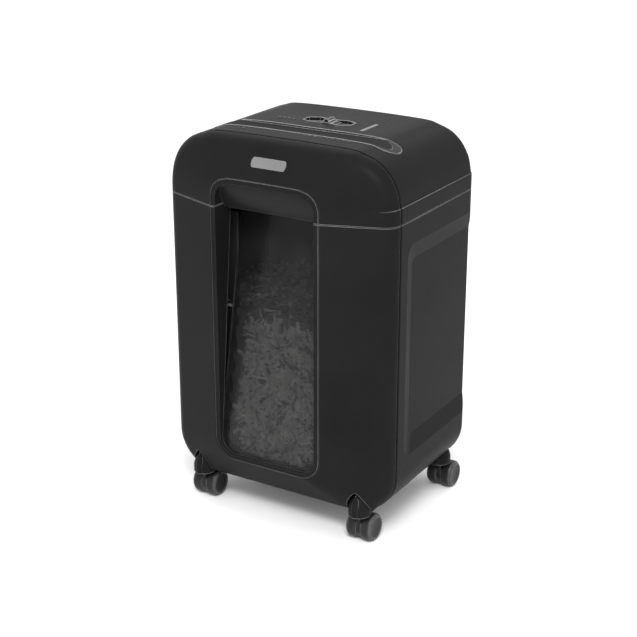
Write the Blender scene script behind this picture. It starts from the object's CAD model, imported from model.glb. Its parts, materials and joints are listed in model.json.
import json
import math
import random

import bmesh
import bpy
from mathutils import Euler, Matrix, Vector, noise


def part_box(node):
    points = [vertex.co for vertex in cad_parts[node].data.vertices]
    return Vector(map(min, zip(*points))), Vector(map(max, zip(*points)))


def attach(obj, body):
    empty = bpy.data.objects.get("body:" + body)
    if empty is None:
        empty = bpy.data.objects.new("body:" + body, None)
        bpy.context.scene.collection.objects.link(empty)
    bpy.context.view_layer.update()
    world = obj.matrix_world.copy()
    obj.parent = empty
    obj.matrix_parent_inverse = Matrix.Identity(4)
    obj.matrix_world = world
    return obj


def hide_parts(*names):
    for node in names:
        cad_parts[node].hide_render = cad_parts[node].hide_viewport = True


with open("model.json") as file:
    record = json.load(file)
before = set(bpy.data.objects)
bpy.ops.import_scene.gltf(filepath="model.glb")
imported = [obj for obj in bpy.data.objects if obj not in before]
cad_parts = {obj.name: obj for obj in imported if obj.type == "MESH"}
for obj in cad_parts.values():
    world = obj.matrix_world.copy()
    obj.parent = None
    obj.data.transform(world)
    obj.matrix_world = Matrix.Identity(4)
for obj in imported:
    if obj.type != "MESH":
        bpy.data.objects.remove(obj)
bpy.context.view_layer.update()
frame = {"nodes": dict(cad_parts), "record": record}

# ---- Sizes, in metres
SHRED_LENGTH = 0.022
SHRED_WIDTH = 0.0042
SHRED_COUNT_FRONT = 5200
SHRED_COUNT_TOP = 3400
SHRED_STEPS = 4             # straight runs along one curled shred
SHRED_SPREAD = 0.20         # spread of the tones round a group's own
HEAP_SHRINK = 0.004         # the lumpy core lies this far inside the CAD heap
HEAP_VOXEL = 0.005
HEAP_LUMPS = 0.003
HEAP_CREST = 0.37           # the crest's place, as a share of the heap's rearmost y
HEAP_REACH = (0.168, 0.079)     # crest to the ends of the top's arc, front and rear
HEAP_FALL = (0.022, 0.016)      # how far the top falls to them
TOP_MARGIN = 0.018
TOP_FRONT = -0.062          # just behind the tub's front wall
TOP_BUMPS = 0.006
TOP_DIP, TOP_RISE = -0.004, 0.002
WINDOW_THICK = 0.0026       # with the hair's gap behind it
SIDE_MARGIN = 0.017         # shreds' middles stay this far inside the window's edge
LOW_MARGIN = 0.018
HIGH_MARGIN = 0.008
CORNER_BAND = 0.012
TOP_LINE_DROP = 0.012       # the shreds' ragged top line, below the heap's crown
TOP_LINE_SWING = 0.010
BEHIND_WINDOW = 0.0052      # nearest shreds' middles, from the window's front face
BEHIND_DEPTH = 0.006
WAVE_FRONT, WAVE_TOP = 24, 30   # waves of the ragged line and of the top's bumps, per metre
FRONT_TONE, TOP_TONE = 0.62, 0.30
FRONT_CURLS = (0.0, 0.16)   # bend only away from the window
TOP_CURLS = (-0.10, 0.16)
TUB_FRONT = -0.0658         # just before the tub's front wall
WALL_CUT = 0.0024           # just more than that wall's thickness
CUT_HEIGHT = 0.064
CUT_BELOW_TOP = 0.006       # middle of the cut, below the window's top
CUT_INSET = 0.0005
FLOOR_HALF = 40.0

# ---- Camera, found from the photograph in the part's own frame
CAMERA_PLACE = Vector((0.8511, -1.4012, 0.8573))
CAMERA_AZIMUTH = math.radians(31.205)
CAMERA_ELEVATION = math.radians(20.80)
CAMERA_LENS = 80.72
SENSOR = 36.0


# ---- Node helpers
def new_material(name):
    """A material with a Principled shader; gives the material, its tree and the shader."""
    material = bpy.data.materials.new(name)
    material.use_nodes = True
    tree = material.node_tree
    return material, tree, tree.nodes["Principled BSDF"]


def add(tree, kind, **settings):
    node = tree.nodes.new(kind)
    for key, value in settings.items():
        setattr(node, key, value)
    return node


def place_on(tree):
    """The point of the surface in the piece's own frame, which the object keeps as it moves."""
    return add(tree, "ShaderNodeTexCoord").outputs["Object"]


def stretched(tree, point, scale):
    mapping = add(tree, "ShaderNodeMapping")
    mapping.inputs["Scale"].default_value = scale
    tree.links.new(point, mapping.inputs["Vector"])
    return mapping.outputs["Vector"]


def noise_value(tree, point, scale, detail=3.0, roughness=0.55):
    node = add(tree, "ShaderNodeTexNoise")
    node.inputs["Scale"].default_value = scale
    node.inputs["Detail"].default_value = detail
    node.inputs["Roughness"].default_value = roughness
    tree.links.new(point, node.inputs["Vector"])
    return node.outputs["Fac"]


def remap(tree, value, low, high, to_low=0.0, to_high=1.0):
    node = add(tree, "ShaderNodeMapRange")
    for slot_name, number in (
        ("From Min", low),
        ("From Max", high),
        ("To Min", to_low),
        ("To Max", to_high),
    ):
        node.inputs[slot_name].default_value = number
    tree.links.new(value, node.inputs["Value"])
    return node.outputs["Result"]


def maths(tree, operation, first, second):
    node = add(tree, "ShaderNodeMath", operation=operation)
    for index, value in enumerate((first, second)):
        if isinstance(value, (int, float)):
            node.inputs[index].default_value = value
        else:
            tree.links.new(value, node.inputs[index])
    return node.outputs["Value"]


def blended(tree, factor, first, second):
    """One colour into another by a factor; a colour is a grey, a triple or another node's output."""
    node = add(tree, "ShaderNodeMix", data_type="RGBA")
    tree.links.new(factor, node.inputs["Factor"])
    for socket, colour in ((node.inputs[6], first), (node.inputs[7], second)):
        if isinstance(colour, (int, float)):
            colour = (colour, colour, colour)
        if isinstance(colour, tuple):
            socket.default_value = (*colour, 1.0)
        else:
            tree.links.new(colour, socket)
    return node.outputs[2]


def edge_mask(tree, radius):
    """1 along the edges of a shape, 0 on its open faces."""
    bevel = add(tree, "ShaderNodeBevel", samples=6)
    bevel.inputs["Radius"].default_value = radius
    geometry = add(tree, "ShaderNodeNewGeometry")
    dot = add(tree, "ShaderNodeVectorMath", operation="DOT_PRODUCT")
    tree.links.new(bevel.outputs["Normal"], dot.inputs[0])
    tree.links.new(geometry.outputs["Normal"], dot.inputs[1])
    return remap(tree, dot.outputs["Value"], 0.99, 0.86)


def upward(tree, low, high):
    """1 where the surface faces up, 0 where it doesn't."""
    geometry = add(tree, "ShaderNodeNewGeometry")
    split = add(tree, "ShaderNodeSeparateXYZ")
    tree.links.new(geometry.outputs["Normal"], split.inputs["Vector"])
    return remap(tree, split.outputs["Z"], low, high)


def relief(tree, shader, heights):
    """Bumps from (height, strength, distance) rows, one on top of another."""
    before = None
    for height, strength, distance in heights:
        bump = add(tree, "ShaderNodeBump")
        bump.inputs["Strength"].default_value = strength
        bump.inputs["Distance"].default_value = distance
        tree.links.new(height, bump.inputs["Height"])
        if before is not None:
            tree.links.new(before, bump.inputs["Normal"])
        before = bump.outputs["Normal"]
    tree.links.new(before, shader.inputs["Normal"])


# ---- Materials
def moulded_plastic(name, dark, light, rough, grain=2600.0, grain_strength=0.16, edge=0.12,
                    edge_radius=0.0009, dust=0.03, specular=0.5):
    """Moulded plastic: fine grain, cloudy tone, rubbed edges and a little dust on what faces up."""
    material, tree, shader = new_material(name)
    point = place_on(tree)
    clouds = noise_value(tree, point, 9.0)
    fine = noise_value(tree, point, grain, 2.0)
    streaks = noise_value(tree, stretched(tree, point, (60.0, 60.0, 9.0)), 6.0, 4.0)
    colour = blended(tree, remap(tree, clouds, 0.35, 0.65), dark, light)
    patchy = remap(tree, clouds, 0.2, 0.6, 0.55, 1.0)
    rubbed = maths(tree, "MULTIPLY", edge_mask(tree, edge_radius), patchy)
    colour = blended(tree, rubbed, colour, edge)
    settled = maths(tree, "MULTIPLY", upward(tree, 0.5, 1.0), remap(tree, fine, 0.45, 0.75))
    colour = blended(tree, maths(tree, "MULTIPLY", settled, dust), colour, 0.45)
    tree.links.new(colour, shader.inputs["Base Color"])
    broad = remap(tree, clouds, 0.3, 0.7, -0.04, 0.05)
    narrow = remap(tree, streaks, 0.3, 0.7, -0.02, 0.03)
    tone = maths(tree, "ADD", broad, narrow)
    tree.links.new(maths(tree, "ADD", tone, rough), shader.inputs["Roughness"])
    shader.inputs["Specular IOR Level"].default_value = specular
    relief(tree, shader, [(clouds, 0.03, 0.002), (fine, grain_strength, 0.00012)])
    return material


def body_plastic():
    return moulded_plastic("body_plastic", 0.0085, 0.0110, 0.44, edge=0.26, edge_radius=0.0011,
                           specular=0.04, dust=0.003)


def hood_plastic():
    return moulded_plastic("hood_plastic", 0.009, 0.012, 0.30, grain_strength=0.04, edge=0.16,
                           specular=0.10, dust=0.004)


def trim_plastic():
    return moulded_plastic("trim_plastic", 0.010, 0.015, 0.36, grain=3400.0, edge=0.55,
                           edge_radius=0.0012, specular=0.10, dust=0.004)


def inner_plastic():
    return moulded_plastic("inner_plastic", 0.010, 0.016, 0.55, grain=1800.0, edge=0.06, specular=0.3)


def tub_plastic():
    return moulded_plastic("tub_plastic", 0.008, 0.012, 0.50, edge=0.08, specular=0.3)


def caster_plastic():
    return moulded_plastic("caster_plastic", 0.005, 0.007, 0.38, edge=0.20, edge_radius=0.0008,
                           specular=0.25, dust=0.01)


def wheel_plastic():
    """Nylon wheels: darker, with scuffs round the tread."""
    return moulded_plastic("wheel_plastic", 0.006, 0.012, 0.42, grain=1200.0, grain_strength=0.3,
                           edge=0.34, edge_radius=0.0010, dust=0.05, specular=0.25)


def gear_plastic():
    return moulded_plastic("gear_plastic", (0.62, 0.58, 0.48), (0.72, 0.69, 0.60), 0.40,
                           edge=0.75, dust=0.0)


def badge_print():
    return moulded_plastic("badge_print", 0.13, 0.16, 0.38, grain=3000.0, edge=0.30, edge_radius=0.0003)


def mark_print():
    return moulded_plastic("mark_print", 0.05, 0.07, 0.5, grain=4000.0, edge=0.12, edge_radius=0.0002)


def lens_clear():
    return moulded_plastic("lens_clear", 0.045, 0.060, 0.18, grain_strength=0.03,
                           edge=0.40, edge_radius=0.0007)


def magnet():
    return moulded_plastic("magnet", 0.020, 0.035, 0.62, grain=900.0, grain_strength=0.4, edge=0.12)


def worked_metal(name, dark, light, rough, direction, edge):
    """Bare metal with fine marks along one direction, stains and bright edges."""
    material, tree, shader = new_material(name)
    point = place_on(tree)
    marks = noise_value(tree, stretched(tree, point, direction), 26.0, 6.0)
    stains = noise_value(tree, point, 38.0, 4.0)
    colour = blended(tree, remap(tree, marks, 0.3, 0.7), dark, light)
    colour = blended(tree, remap(tree, stains, 0.55, 0.8, 0.0, 0.35), colour,
                     tuple(part * 0.45 for part in dark))
    colour = blended(tree, maths(tree, "MULTIPLY", edge_mask(tree, 0.0005), 0.7), colour, edge)
    tree.links.new(colour, shader.inputs["Base Color"])
    tree.links.new(
        maths(tree, "ADD", remap(tree, marks, 0.2, 0.8, -0.10, 0.12), rough), shader.inputs["Roughness"]
    )
    shader.inputs["Metallic"].default_value = 1.0
    relief(tree, shader, [(marks, 0.12, 0.0002), (stains, 0.05, 0.0004)])
    return material


def frame_steel():
    return worked_metal("frame_steel", (0.42, 0.43, 0.44), (0.60, 0.61, 0.62), 0.38,
                        (4.0, 30.0, 4.0), 0.8)


def cutter_steel():
    return worked_metal("cutter_steel", (0.26, 0.26, 0.27), (0.40, 0.40, 0.40), 0.30,
                        (60.0, 6.0, 6.0), 0.7)


def gear_steel():
    return worked_metal("gear_steel", (0.26, 0.25, 0.24), (0.36, 0.35, 0.33), 0.48,
                        (14.0, 14.0, 14.0), 0.6)


def bronze():
    return worked_metal("bronze", (0.42, 0.27, 0.13), (0.60, 0.40, 0.20), 0.42, (12.0, 12.0, 12.0),
                        (0.8, 0.6, 0.35))


def armature():
    return worked_metal("armature", (0.30, 0.28, 0.26), (0.52, 0.49, 0.44), 0.36, (90.0, 4.0, 4.0), 0.75)


def screw_steel():
    return worked_metal("screw_steel", (0.46, 0.46, 0.45), (0.62, 0.62, 0.60), 0.32,
                        (10.0, 10.0, 40.0), 0.85)


def board_green():
    """Solder mask with faint tracks under it."""
    material, tree, shader = new_material("board_green")
    point = place_on(tree)
    tracks = add(tree, "ShaderNodeTexBrick")
    tracks.inputs["Scale"].default_value = 90.0
    tracks.inputs["Color1"].default_value = (0.012, 0.085, 0.035, 1.0)
    tracks.inputs["Color2"].default_value = (0.016, 0.105, 0.045, 1.0)
    tracks.inputs["Mortar"].default_value = (0.03, 0.19, 0.08, 1.0)
    tree.links.new(point, tracks.inputs["Vector"])
    flux = noise_value(tree, point, 70.0)
    residue = remap(tree, flux, 0.5, 0.75, 0.0, 0.4)
    colour = blended(tree, residue, tracks.outputs["Color"], (0.02, 0.07, 0.03))
    tree.links.new(colour, shader.inputs["Base Color"])
    tree.links.new(remap(tree, flux, 0.3, 0.7, 0.25, 0.42), shader.inputs["Roughness"])
    relief(tree, shader, [(tracks.outputs["Fac"], 0.2, 0.0001)])
    return material


def component_mix():
    """Potted blocks, drums and terminals, each place with a tone of its own."""
    material, tree, shader = new_material("component_mix")
    point = place_on(tree)
    cells = add(tree, "ShaderNodeTexVoronoi")
    cells.inputs["Scale"].default_value = 55.0
    tree.links.new(point, cells.inputs["Vector"])
    ramp = add(tree, "ShaderNodeValToRGB")
    ramp.color_ramp.elements[0].color = (0.02, 0.02, 0.024, 1.0)
    ramp.color_ramp.elements[1].color = (0.16, 0.15, 0.13, 1.0)
    split = add(tree, "ShaderNodeSeparateColor")
    tree.links.new(cells.outputs["Color"], split.inputs["Color"])
    tree.links.new(split.outputs["Red"], ramp.inputs["Fac"])
    grain = noise_value(tree, point, 900.0)
    colour = blended(tree, edge_mask(tree, 0.0004), ramp.outputs["Color"], 0.3)
    tree.links.new(colour, shader.inputs["Base Color"])
    tree.links.new(remap(tree, grain, 0.3, 0.7, 0.35, 0.55), shader.inputs["Roughness"])
    relief(tree, shader, [(grain, 0.2, 0.0001)])
    return material


def window_tint():
    """Smoked clear plastic, with a haze of fine paper dust low down and light scuffs."""
    material, tree, shader = new_material("window_tint")
    point = place_on(tree)
    haze = noise_value(tree, point, 30.0, 5.0)
    scuffs = noise_value(tree, stretched(tree, point, (140.0, 20.0, 9.0)), 5.0, 5.0)
    colour = blended(tree, remap(tree, haze, 0.35, 0.75), 0.010, 0.020)
    colour = blended(tree, maths(tree, "MULTIPLY", edge_mask(tree, 0.0009), 0.8), colour, 0.2)
    tree.links.new(colour, shader.inputs["Base Color"])
    tree.links.new(remap(tree, scuffs, 0.4, 0.75, 0.16, 0.30), shader.inputs["Roughness"])
    tree.links.new(remap(tree, haze, 0.35, 0.8, 0.42, 0.50), shader.inputs["Alpha"])
    shader.inputs["Specular IOR Level"].default_value = 0.3
    relief(tree, shader, [(scuffs, 0.02, 0.0002)])
    return material


def shred_paper():
    """Office paper: each shred with its own tone, faint fibres and patches of print."""
    material, tree, shader = new_material("shred_paper")
    point = place_on(tree)
    tone = add(tree, "ShaderNodeAttribute", attribute_name="tone").outputs["Fac"]
    fibres = noise_value(tree, stretched(tree, point, (1.0, 1.0, 3.0)), 420.0, 4.0)
    print_patches = noise_value(tree, point, 240.0, 1.0)
    colour = blended(tree, tone, (0.08, 0.08, 0.08), (0.42, 0.417, 0.405))
    colour = blended(tree, remap(tree, fibres, 0.35, 0.7, 0.0, 0.3), colour, 0.26)
    colour = blended(tree, remap(tree, print_patches, 0.62, 0.68, 0.0, 0.7), colour, 0.05)
    tree.links.new(colour, shader.inputs["Base Color"])
    tree.links.new(remap(tree, fibres, 0.3, 0.7, 0.75, 0.92), shader.inputs["Roughness"])
    shader.inputs["Specular IOR Level"].default_value = 0.25
    relief(tree, shader, [(fibres, 0.25, 0.0001)])
    return material


def floor_paper():
    """Pale seamless studio floor with a barely visible mottle."""
    material, tree, shader = new_material("studio_floor")
    point = place_on(tree)
    mottle = noise_value(tree, point, 40.0)
    colour = blended(tree, remap(tree, mottle, 0.3, 0.7), 0.93, 0.96)
    tree.links.new(colour, shader.inputs["Base Color"])
    tree.links.new(remap(tree, mottle, 0.3, 0.7, 0.85, 0.95), shader.inputs["Roughness"])
    shader.inputs["Specular IOR Level"].default_value = 0.1
    return material


MAKERS = [
    body_plastic, hood_plastic, trim_plastic, badge_print, mark_print, lens_clear, inner_plastic,
    tub_plastic, window_tint, shred_paper, frame_steel, cutter_steel, gear_plastic, gear_steel,
    bronze, armature, magnet, screw_steel, board_green, component_mix, caster_plastic, wheel_plastic,
]


def dress_cad_nodes(materials):
    """Each CAD node takes the material named by its slot in the record."""
    for row in frame["record"]["subparts"]:
        node = frame["nodes"][row["node"]]
        node.data.materials.clear()
        node.data.materials.append(materials[row["material_slot"]])


# ---- Shredded paper
def heap_core(material):
    """Lumpy inner mass of the heap, just inside the CAD heap's faces."""
    source = frame["nodes"]["paper_shreds"]
    core = bpy.data.objects.new("shred_core", source.data.copy())
    bpy.context.scene.collection.objects.link(core)
    core.data.materials.clear()
    core.data.materials.append(material)
    remesh = core.modifiers.new("even", "REMESH")
    remesh.mode = "VOXEL"
    remesh.voxel_size = HEAP_VOXEL
    shrink = core.modifiers.new("inward", "DISPLACE")
    shrink.mid_level = 0.0
    shrink.strength = -HEAP_SHRINK
    texture = bpy.data.textures.new("heap_lumps", "CLOUDS")
    texture.noise_scale = 0.014
    lumps = core.modifiers.new("lumps", "DISPLACE")
    lumps.texture = texture
    lumps.strength = HEAP_LUMPS
    lumps.mid_level = 0.9
    return core


def strip(mesh, tone_layer, place, turn, length, width, curl, tone):
    """One curled shred: a narrow band that bends along its length."""
    rows = []
    for step in range(SHRED_STEPS + 1):
        along = (step / SHRED_STEPS - 0.5) * length
        lift = curl * (2 * along / length) ** 2 * length
        pair = [
            mesh.verts.new(place + turn @ Vector((along, side * width / 2, lift)))
            for side in (-1, 1)
        ]
        for vertex in pair:
            vertex[tone_layer] = tone
        rows.append(pair)
    for first, second in zip(rows, rows[1:]):
        mesh.faces.new((first[0], first[1], second[1], second[0]))


def shred_object(name, placements, curls, mean_tone, material):
    """Every shred of one group in one mesh, from (place, turn) pairs, a range of curls and a tone."""
    mesh = bmesh.new()
    tone_layer = mesh.verts.layers.float.new("tone")
    for place, turn in placements:
        length = SHRED_LENGTH * random.uniform(0.6, 1.35)
        width = SHRED_WIDTH * random.uniform(0.9, 1.15)
        tone = min(1.0, max(0.0, random.gauss(mean_tone, SHRED_SPREAD)))
        strip(mesh, tone_layer, place, turn, length, width, random.uniform(*curls), tone)
    data = bpy.data.meshes.new(name)
    mesh.to_mesh(data)
    mesh.free()
    for polygon in data.polygons:
        polygon.use_smooth = True
    data.materials.append(material)
    piece = bpy.data.objects.new(name, data)
    bpy.context.scene.collection.objects.link(piece)
    return piece


def front_placements(count):
    """Shreds pressed against the back of the leaning window, up to a ragged top line."""
    low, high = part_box("bin_window")
    heap_low, heap_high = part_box("paper_shreds")
    half = high.x - SIDE_MARGIN
    lean = (high.y - low.y - WINDOW_THICK) / (high.z - low.z)
    placements = []
    while len(placements) < count:
        x = random.uniform(-half, half)
        z = random.uniform(heap_low.z + LOW_MARGIN, heap_high.z - HIGH_MARGIN)
        corner = max(0.0, abs(x) - half + CORNER_BAND)
        if z < heap_low.z + LOW_MARGIN + 2 * corner:
            continue
        swing = TOP_LINE_SWING * noise.noise(Vector((x * WAVE_FRONT, 3.1, 0.0)))
        if z > heap_high.z - TOP_LINE_DROP - swing - TOP_LINE_SWING:
            continue
        depth = BEHIND_WINDOW + BEHIND_DEPTH * random.random() ** 1.4
        y = low.y + WINDOW_THICK + lean * (z - low.z) + depth
        turn = (
            Matrix.Rotation(-math.atan(lean) - math.pi / 2, 3, "X")
            @ Matrix.Rotation(random.uniform(0, math.pi), 3, "Z")
            @ Euler((random.gauss(0, 0.22), random.gauss(0, 0.045), 0)).to_matrix()
        )
        placements.append((Vector((x, y, z)), turn))
    return placements


def crown_height(y, high):
    """Height of the heap's crowned top, which falls to the front and to the back."""
    crest = high.y * HEAP_CREST
    side = 0 if y < crest else 1
    return high.z - HEAP_SHRINK - HEAP_FALL[side] * ((y - crest) / HEAP_REACH[side]) ** 2


def top_placements(count):
    """Shreds lying over the top of the heap at all angles."""
    low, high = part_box("paper_shreds")
    placements = []
    while len(placements) < count:
        x = random.uniform(low.x + TOP_MARGIN, high.x - TOP_MARGIN)
        y = random.uniform(TOP_FRONT, high.y - TOP_MARGIN)
        bumps = TOP_BUMPS * noise.noise(Vector((x * WAVE_TOP, y * WAVE_TOP, 1.7)))
        z = crown_height(y, high) + bumps + random.uniform(TOP_DIP, TOP_RISE)
        turn = Euler(
            (random.gauss(0, 0.30), random.gauss(0, 0.22), random.uniform(0, 2 * math.pi))
        ).to_matrix()
        placements.append((Vector((x, y, z)), turn))
    return placements


def make_shreds(material):
    random.seed(41)
    core = heap_core(material)
    front_places = front_placements(SHRED_COUNT_FRONT)
    front = shred_object("shreds_front", front_places, FRONT_CURLS, FRONT_TONE, material)
    top_places = top_placements(SHRED_COUNT_TOP)
    top = shred_object("shreds_top", top_places, TOP_CURLS, TOP_TONE, material)
    for piece in (core, front, top):
        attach(piece, "drawer")
    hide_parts("paper_shreds")


# ---- Bin
def open_tub(material):
    """The tub without the strip of front wall that the CAD leaves before the window's top."""
    source = frame["nodes"]["bin_tub"]
    tub = bpy.data.objects.new("tub_open", source.data.copy())
    bpy.context.scene.collection.objects.link(tub)
    tub.data.materials.clear()
    tub.data.materials.append(material)
    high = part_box("bin_window")[1]
    mesh = bmesh.new()
    bmesh.ops.create_cube(mesh, size=1.0)
    centre = Vector((0.0, TUB_FRONT + WALL_CUT / 2, high.z - CUT_BELOW_TOP))
    size = Vector((2 * (high.x - CUT_INSET), WALL_CUT, CUT_HEIGHT))
    for vertex in mesh.verts:
        vertex.co = centre + Vector([part * length for part, length in zip(vertex.co, size)])
    data = bpy.data.meshes.new("tub_cutter")
    mesh.to_mesh(data)
    mesh.free()
    cutter = bpy.data.objects.new("tub_cutter", data)
    opening = tub.modifiers.new("opening", "BOOLEAN")
    opening.operation = "DIFFERENCE"
    opening.solver = "EXACT"
    opening.object = cutter
    bpy.context.scene.collection.objects.link(cutter)
    bpy.context.view_layer.update()
    cut_tub = tub.evaluated_get(bpy.context.evaluated_depsgraph_get())
    result = bpy.data.meshes.new_from_object(cut_tub)
    tub.modifiers.clear()
    tub.data = result
    bpy.data.objects.remove(cutter)
    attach(tub, "drawer")
    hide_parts("bin_tub")


# ---- Studio
def make_floor():
    mesh = bmesh.new()
    bmesh.ops.create_grid(mesh, x_segments=8, y_segments=8, size=FLOOR_HALF)
    data = bpy.data.meshes.new("studio_floor")
    mesh.to_mesh(data)
    mesh.free()
    data.materials.append(floor_paper())
    floor = bpy.data.objects.new("studio_floor", data)
    bpy.context.scene.collection.objects.link(floor)


def area_light(name, place, target, size, watts):
    light = bpy.data.lights.new(name, "AREA")
    light.shape = "RECTANGLE"
    light.size, light.size_y = size
    light.energy = watts
    lamp = bpy.data.objects.new(name, light)
    lamp.location = place
    lamp.rotation_euler = (Vector(target) - Vector(place)).to_track_quat("-Z", "Y").to_euler()
    bpy.context.scene.collection.objects.link(lamp)


def make_lights():
    middle = (0.0, 0.0, 0.26)
    area_light("key_front", (1.0, -1.7, 2.3), (0.0, -0.1, 0.42), (1.0, 0.8), 60.0)
    area_light("fill_right", (2.2, -0.4, 1.0), middle, (1.0, 1.6), 1.0)
    area_light("top_back", (-0.3, 1.3, 1.8), (0.0, 0.0, 0.45), (1.6, 0.7), 3.0)
    world = bpy.data.worlds.new("studio_world")
    world.use_nodes = True
    back = world.node_tree.nodes["Background"]
    back.inputs["Color"].default_value = (1.0, 1.0, 1.0, 1.0)
    back.inputs["Strength"].default_value = 1.1
    bpy.context.scene.world = world


def make_camera():
    data = bpy.data.cameras.new("photo_camera")
    data.lens = CAMERA_LENS
    data.sensor_width = SENSOR
    data.clip_start, data.clip_end = 0.05, 60.0
    camera = bpy.data.objects.new("photo_camera", data)
    a, e = CAMERA_AZIMUTH, CAMERA_ELEVATION
    forward = Vector((-math.sin(a) * math.cos(e), math.cos(a) * math.cos(e), -math.sin(e)))
    camera.location = CAMERA_PLACE
    camera.rotation_euler = forward.to_track_quat("-Z", "Y").to_euler()
    bpy.context.scene.collection.objects.link(camera)
    bpy.context.scene.camera = camera


materials = {maker.__name__: maker() for maker in MAKERS}
dress_cad_nodes(materials)
make_shreds(materials["shred_paper"])
open_tub(materials["tub_plastic"])
make_floor()
make_lights()
make_camera()
bpy.context.scene.view_settings.view_transform = "Standard"
